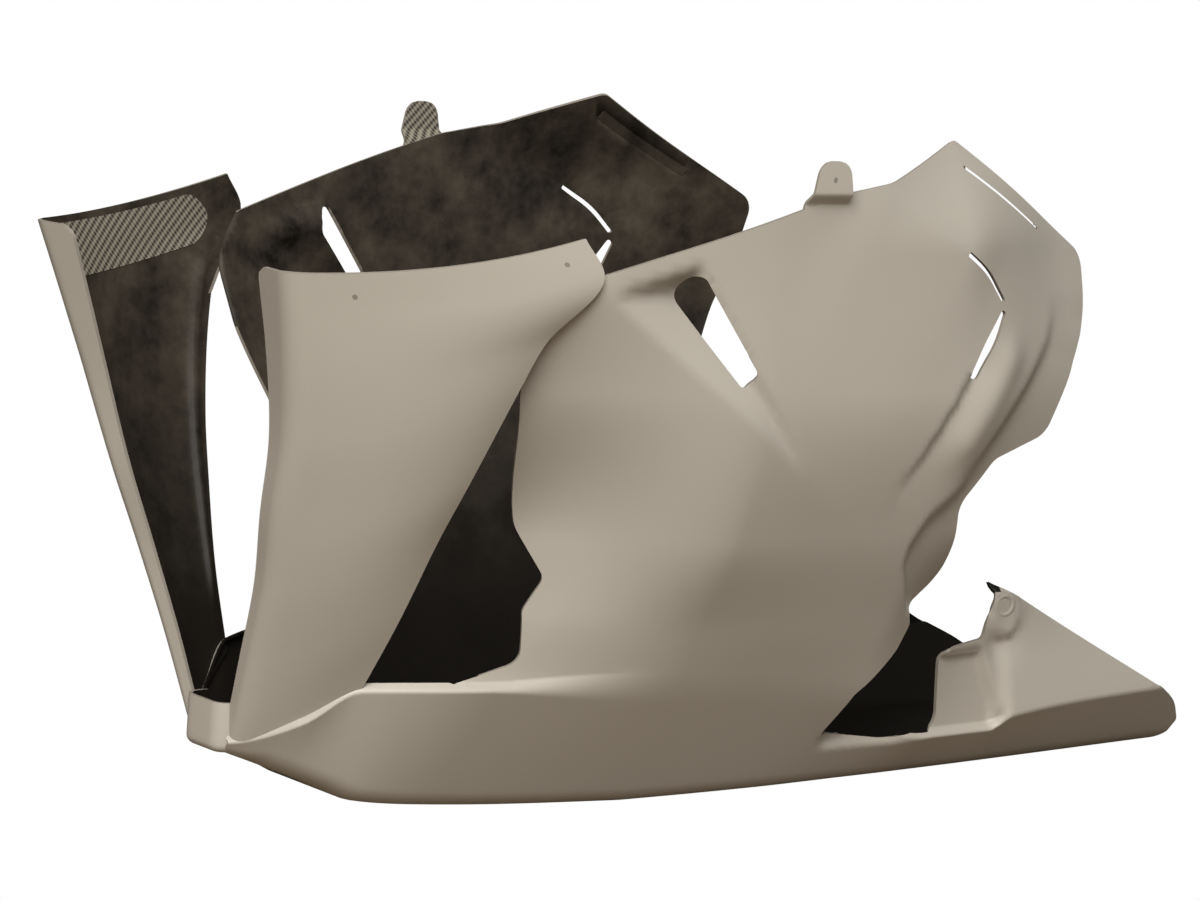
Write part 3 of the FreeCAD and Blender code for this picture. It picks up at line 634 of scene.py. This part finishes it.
def weavePoints():
    points = []
    for j in range(weave["rows"] + 1):
        t = j / weave["rows"]
        bow = 1 - math.sqrt(1 - (weave["blunt"] * (2 * t - 1)) ** 2)
        end = weave["right"] - weave["round"] * bow
        v = mix(weave["low"], weave["high"], t)
        for i in range(weave["columns"] + 1):
            p, aside, above = ductSides(mix(weave["left"], end, i / weave["columns"]), v)
            normal = aside.cross(above).normalized()
            if normal.y < 0:
                normal.negate()
            p -= normal * (wall + weave["lift"])
            points.append(Vector((p.x, -p.y, p.z)))
    return points, gridFaces(weave["columns"] + 1, weave["rows"] + 1)


weaveShell = shellMesh("weaveShell", *mirrored(*weavePoints()), -weave["lift"] / 2)

# Riser between the duct's rear edge and the panel
riser = {"low": 318, "full": 345, "high": 374, "inset": 0.5, "least": 0.04, "steps": 24,
         "across": (0, 0.5, 1)}


def riserLines():
    lines = []
    heights = [p[2] for p in duct["rear"]]
    for k in range(riser["steps"] + 1):
        z = mix(riser["low"], riser["high"], k / riser["steps"])
        edge = ductPoint(1, (z - heights[0]) / (heights[-1] - heights[0]))
        x = edge.x - riser["inset"]
        reach = min(1.0, mix(riser["least"], 1, (z - riser["low"]) / (riser["full"] - riser["low"])))
        start = edge.y - wall / 2
        ends = (start, mix(start, panelHalf(x, edge.z) - wall / 2, reach))
        lines += [Vector((x, -mix(*ends, t), edge.z)) for t in riser["across"]]
    return lines


riserPoints, riserFaces = mirrored(riserLines(), gridFaces(len(riser["across"]), riser["steps"] + 1))
riserShell = shellMesh("riserShell", riserPoints, riserFaces, wall)

# Wall across the front of the belly, with rounded ends
lip = {"x": -386.5, "half": 22, "round": 11, "tail": 8, "foot": 6, "bottom": 46.5, "top": 80,
       "turns": 8, "footRows": 8, "wallRows": 6}


def lipLine(inset):
    # plan of the wall, drawn in from the front and the sides
    reach = lip["round"]
    flat = lip["half"] - reach
    bend = reach - inset
    line = [(lip["x"] + inset, w) for w in (0, flat / 2)]
    for k in range(lip["turns"] + 1):
        a = k / lip["turns"] * math.pi / 2
        line.append((lip["x"] + reach - bend * math.cos(a), flat + bend * math.sin(a)))
    line.append((lip["x"] + reach + lip["tail"], lip["half"] - inset))
    return line


def lipPoints():
    rows = []
    for k in range(lip["footRows"]):
        a = k / lip["footRows"] * math.pi / 2
        rows.append((lip["foot"] * (1 - math.sin(a)), lip["bottom"] + lip["foot"] * (1 - math.cos(a))))
    for k in range(lip["wallRows"] + 1):
        rows.append((0.0, mix(lip["bottom"] + lip["foot"], lip["top"], k / lip["wallRows"])))
    points = [Vector((x, -w, z)) for inset, z in rows for x, w in lipLine(inset)]
    return points, gridFaces(len(lipLine(0)), len(rows))


lipShell = shellMesh("lipShell", *mirrored(*lipPoints()), wall)

# Tab with its step out from the panel
tab = {"x": -73, "root": 412, "bendLow": 424, "bendHigh": 433, "top": 453.5, "width": 42, "headWidth": 25,
       "corner": 9, "half": 222.8, "wall": 1.8, "rows": 40, "columns": 14}


def tabPoints():
    points = []
    for j in range(tab["rows"] + 1):
        z = mix(tab["root"], tab["top"], j / tab["rows"])
        rise = ease((z - tab["bendLow"]) / (tab["bendHigh"] - tab["bendLow"]))
        half = mix(tab["width"], tab["headWidth"], (z - tab["root"]) / (tab["top"] - tab["root"])) / 2
        over = max(0.0, z - tab["top"] + tab["corner"])
        half -= tab["corner"] - math.sqrt(max(0.0, tab["corner"] ** 2 - over ** 2))
        for i in range(tab["columns"] + 1):
            x = tab["x"] + mix(-half, half, i / tab["columns"])
            foot = panelHalf(x, min(z, tab["bendHigh"])) - wall / 2 + tab["wall"] / 2
            points.append(Vector((x, -mix(foot, tab["half"], rise), z)))
    return points, gridFaces(tab["columns"] + 1, tab["rows"] + 1)


tabShell = shellMesh("tabShell", *mirrored(*tabPoints()), tab["wall"])


def slitStripPoints():
    # laminate that closes the right slit from inside
    start, end = (Vector(spot[:2]) for spot in holes["slit"][:2])
    along = (end - start).normalized()
    up = Vector((-along.y, along.x))
    columns, rows = slit["stripColumns"], slit["stripRows"]
    points = []
    for j in range(rows + 1):
        for i in range(columns + 1):
            spot = start.lerp(end, i / columns) + up * mix(-slit["stripHalf"], slit["stripHalf"], j / rows)
            points.append(Vector((spot.x, panelHalf(spot.x, spot.y) - slit["stripDepth"], spot.y)))
    return points, [tuple(reversed(face)) for face in gridFaces(columns + 1, rows + 1)]


slitStrip = shellMesh("slitStrip", *slitStripPoints(), slit["stripWall"])

# Raised ring on the fin; its profile is radius and share of the height
ring = {"x": 223, "z": 126, "height": 0.7, "stretch": 1.2, "wall": 0.8, "turns": 48,
        "profile": ((9.5, 0), (8, 0.6), (7.2, 1), (6.6, 1), (6, 0.6), (5.2, 0))}


def ringPoints():
    foot = panelHalf(ring["x"], ring["z"])
    turns, count = ring["turns"], len(ring["profile"])
    points, faces = [], []
    for k in range(turns):
        a = k * math.tau / turns
        aside, up = ring["stretch"] * math.cos(a), math.sin(a)
        for radius, share in ring["profile"]:
            out = foot + share * ring["height"]
            points.append(Vector((ring["x"] + radius * aside, -out, ring["z"] + radius * up)))
        here, ahead = k * count, (k + 1) % turns * count
        faces += [(here + i, ahead + i, ahead + i + 1, here + i + 1) for i in range(count - 1)]
    return points, faces


ringShell = shellMesh("ringShell", *mirrored(*ringPoints()), ring["wall"])

# Small pilot marks for the fasteners, two at the duct's top and one on the tab
dimple = {"onDuct": ((0.195, 0.955), (0.89, 0.965)), "onTab": 441.5, "size": 1.7, "lift": 0.15,
          "wall": 0.05, "sides": 14}


def dimplePoints():
    spots = [ductSides(u, v) for u, v in dimple["onDuct"]]
    spots.append((Vector((tab["x"], tab["half"], dimple["onTab"])), Vector((1, 0, 0)), Vector((0, 0, 1))))
    points, faces = [], []
    sides = dimple["sides"]
    for p, aside, above in spots:
        first = len(points)
        centre = p + above.cross(aside).normalized() * dimple["lift"]
        points.append(centre)
        for k in range(sides):
            a = k * math.tau / sides
            points.append(centre + (aside * math.cos(a) + above * math.sin(a)) * dimple["size"])
            faces.append((first, first + 1 + k, first + 1 + (k + 1) % sides))
    return [Vector((p.x, -p.y, p.z)) for p in points], faces


dimpleShell = shellMesh("dimpleShell", *mirrored(*dimplePoints()), dimple["wall"])
print("meshes made")


class Shade:
    # a shader value with plain arithmetic
    def __init__(self, tree, socket=None):
        self.tree = tree
        self.socket = socket

    def node(self, kind, settings=None, **inputs):
        # inputs go by name, or by place as i0, i1 and so on
        made = self.tree.nodes.new(kind)
        for key, value in (settings or {}).items():
            setattr(made, key, value)
        for key, value in inputs.items():
            byPlace = key[0] == "i" and key[1:].isdigit()
            target = made.inputs[int(key[1:]) if byPlace else key]
            if isinstance(value, Shade):
                self.tree.links.new(value.socket, target)
            else:
                target.default_value = value
        return made

    def take(self, made, output=0):
        return Shade(self.tree, made.outputs[output])

    def feed(self, target):
        self.tree.links.new(self.socket, target)

    def maths(self, operation, other=0.0, clamp=False):
        settings = {"operation": operation, "use_clamp": clamp}
        return self.take(self.node("ShaderNodeMath", settings, i0=self, i1=other))

    def __add__(self, other):
        return self.maths("ADD", other)

    def __mul__(self, other):
        return self.maths("MULTIPLY", other)

    def __sub__(self, other):
        return self.maths("SUBTRACT", other)

    def __rsub__(self, other):
        return (self * -1) + other

    __radd__ = __add__
    __rmul__ = __mul__


def newMaterial(name):
    # a material, its shader and the place on the piece
    material = bpy.data.materials.new(name)
    material.use_nodes = True
    start = Shade(material.node_tree)
    place = start.take(start.node("ShaderNodeTexCoord"), "Object")
    return material, material.node_tree.nodes["Principled BSDF"], place


def cloud(place, **inputs):
    return place.take(place.node("ShaderNodeTexNoise", {}, Vector=place, **inputs), "Fac")


def tintBase(shader, amount, dark, light):
    # base colour between two tints
    tint = amount.node("ShaderNodeMix", {"data_type": "RGBA"}, i0=amount, i6=dark + (1,), i7=light + (1,))
    amount.take(tint, 2).feed(shader.inputs["Base Color"])


def plainMaterial(name, settings):
    material, shader, place = newMaterial(name)
    amount = cloud(place, Scale=settings["cloud"], Detail=4.0)
    tintBase(shader, amount, settings["dark"], settings["light"])
    shader.inputs["Roughness"].default_value = settings["roughness"]
    return material


laminateLook = {
    "dark": (0.006, 0.0047, 0.0033), "light": (0.07, 0.057, 0.041), "roughness": 0.5, "specular": 0.12,
    "blotch": 22.0, "grain": 140.0, "contrast": 2.4, "offset": -0.85, "grainShare": 0.25,
    # low, high and deep set the painted shade: heights in metres where it is full and where it ends, and the
    # brightness left at the bottom
    "low": 0.1, "high": 0.36, "deep": 0.04, "bump": 0.25, "bumpHeight": 0.001,
}


def laminateMaterial(settings):
    # uncoated laminate: blotchy resin, with painted shade that darkens it towards the belly
    material, shader, place = newMaterial("laminate")
    broad = cloud(place, Scale=settings["blotch"], Detail=6.0, Roughness=0.65)
    fine = cloud(place, Scale=settings["grain"], Detail=3.0)
    height = place.take(place.node("ShaderNodeSeparateXYZ", {}, Vector=place), "Z")
    # painted shade: the inner side goes dark from the given height down
    lit = (height - settings["low"]).maths("DIVIDE", settings["high"] - settings["low"], clamp=True)
    blotch = broad * settings["contrast"] + settings["offset"] + fine * settings["grainShare"]
    amount = blotch.maths("MULTIPLY", 1.0, clamp=True) * (lit * (1 - settings["deep"]) + settings["deep"])
    tintBase(shader, amount, settings["dark"], settings["light"])
    bump = place.node("ShaderNodeBump", {}, Height=fine, Strength=settings["bump"],
                      Distance=settings["bumpHeight"])
    place.take(bump).feed(shader.inputs["Normal"])
    shader.inputs["Roughness"].default_value = settings["roughness"]
    shader.inputs["Specular IOR Level"].default_value = settings["specular"]
    return material


twillLook = {"dark": (0.022, 0.018, 0.013), "light": (0.27, 0.24, 0.185), "roughness": 0.4,
             "pitch": 5.2, "bandShare": 0.36, "thread": 2.6, "threadShare": 0.26, "middle": 0.5}


def twillMaterial(settings):
    # diagonal bands of thread, broken by the threads that cross them
    material, shader, place = newMaterial("twill")
    parts = place.node("ShaderNodeSeparateXYZ", {}, Vector=place)
    x, z = place.take(parts, "X") * (1 / mm), place.take(parts, "Z") * (1 / mm)
    band = ((x - z) * (math.tau / (settings["pitch"] * math.sqrt(2)))).maths("SINE")
    thread = ((x + z) * (math.tau / (settings["thread"] * math.sqrt(2)))).maths("SINE")
    mixed = band * settings["bandShare"] + thread * settings["threadShare"]
    tintBase(shader, mixed.maths("ADD", settings["middle"], clamp=True), settings["dark"], settings["light"])
    shader.inputs["Roughness"].default_value = settings["roughness"]
    return material


gelCoat = plainMaterial("gelCoat", {"dark": (0.36, 0.327, 0.276), "light": (0.40, 0.364, 0.308),
                                    "roughness": 0.5, "cloud": 6})
laminate = laminateMaterial(laminateLook)
rawEdge = plainMaterial("rawEdge", {"dark": (0.17, 0.15, 0.12), "light": (0.24, 0.21, 0.17),
                                    "roughness": 0.6, "cloud": 30})
twill = twillMaterial(twillLook)
print("finishes made")

# One piece stands for the CAD shell
coated = (gelCoat, laminate, rawEdge)
finish = {
    sideShell: coated,
    slitStrip: (laminate, laminate, laminate),
    ductShell: coated,
    riserShell: coated,
    lipShell: coated,
    tabShell: (gelCoat, twill, rawEdge),
    ringShell: coated,
    weaveShell: (twill, twill, twill),
    dimpleShell: (rawEdge, rawEdge, rawEdge),
}
pieces = []
for mesh, materials in finish.items():
    for material in materials:
        mesh.materials.append(material)
    piece = bpy.data.objects.new(mesh.name, mesh)
    bpy.context.collection.objects.link(piece)
    pieces.append(piece)
bpy.ops.object.select_all(action="DESELECT")
for piece in pieces:
    piece.select_set(True)
bpy.context.view_layer.objects.active = pieces[0]
bpy.ops.object.join()
fairing = bpy.context.view_layer.objects.active
fairing.name = "fairing"
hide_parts("fairing_shell")
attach(fairing, "root")
print("piece joined")

# Stage: a floor and a world that show white to the camera, with soft light
stage = {"size": 30, "drop": 0.0005, "bounce": (0.22, 0.175, 0.13, 1), "fill": (1, 0.95, 0.88, 1),
         "fillStrength": 0.10, "white": (1, 1, 1, 1)}


def whiteToCamera(owner, outputKind, litKind, litInputs, whiteKind):
    owner.use_nodes = True
    tree = owner.node_tree
    tree.nodes.clear()
    start = Shade(tree)
    ray = start.take(start.node("ShaderNodeLightPath"), "Is Camera Ray")
    lit = start.take(start.node(litKind, {}, **litInputs))
    white = start.take(start.node(whiteKind, {}, Color=stage["white"], Strength=1.0))
    both = start.take(start.node("ShaderNodeMixShader", {}, i0=ray, i1=lit, i2=white))
    start.node(outputKind, {}, i0=both)


paleFloor = bpy.data.materials.new("paleFloor")
whiteToCamera(paleFloor, "ShaderNodeOutputMaterial", "ShaderNodeBsdfDiffuse", {"Color": stage["bounce"]},
              "ShaderNodeEmission")
bpy.ops.mesh.primitive_plane_add(size=stage["size"], location=(0, 0, -stage["drop"]))
floor = bpy.context.active_object
floor.name = "floor"
floor.data.materials.append(paleFloor)

world = bpy.data.worlds.new("studio")
bpy.context.scene.world = world
whiteToCamera(world, "ShaderNodeOutputWorld", "ShaderNodeBackground",
              {"Color": stage["fill"], "Strength": stage["fillStrength"]}, "ShaderNodeBackground")

# Lamps and camera
lights = {
    "key": {"at": (-2.25, -2.1, 2.6), "aim": (0, 0, 0.25), "size": 2.0, "power": 226},
    "top": {"at": (-0.2, -0.6, 2.6), "aim": (0, 0, 0.2), "size": 2.4, "power": 16},
    "rear": {"at": (2.2, -2.2, 0.7), "aim": (0.2, 0, 0.2), "size": 1.6, "power": 7},
}
for name, settings in lights.items():
    lamp = bpy.data.lights.new(name, "AREA")
    lamp.shape = "SQUARE"
    lamp.size = settings["size"]
    lamp.energy = settings["power"]
    holder = bpy.data.objects.new(name, lamp)
    holder.location = settings["at"]
    aim = Vector(settings["aim"]) - Vector(settings["at"])
    holder.rotation_euler = aim.to_track_quat("-Z", "Y").to_euler()
    bpy.context.collection.objects.link(holder)

view = {"at": (-1.746, -2.0, 0.608), "yaw": 40.03, "down": 8.22, "roll": 4.226, "lens": 114, "sensor": 36}
camera = bpy.data.objects.new("camera", bpy.data.cameras.new("camera"))
camera.data.lens = view["lens"]
camera.data.sensor_width = view["sensor"]
camera.data.sensor_fit = "HORIZONTAL"
turn = Matrix.Rotation(math.radians(-view["yaw"]), 4, "Z")
turn = turn @ Matrix.Rotation(math.radians(90 - view["down"]), 4, "X")
turn = turn @ Matrix.Rotation(math.radians(view["roll"]), 4, "Z")
camera.matrix_world = Matrix.Translation(view["at"]) @ turn
bpy.context.collection.objects.link(camera)
bpy.context.scene.camera = camera
bpy.context.scene.view_settings.view_transform = "Standard"
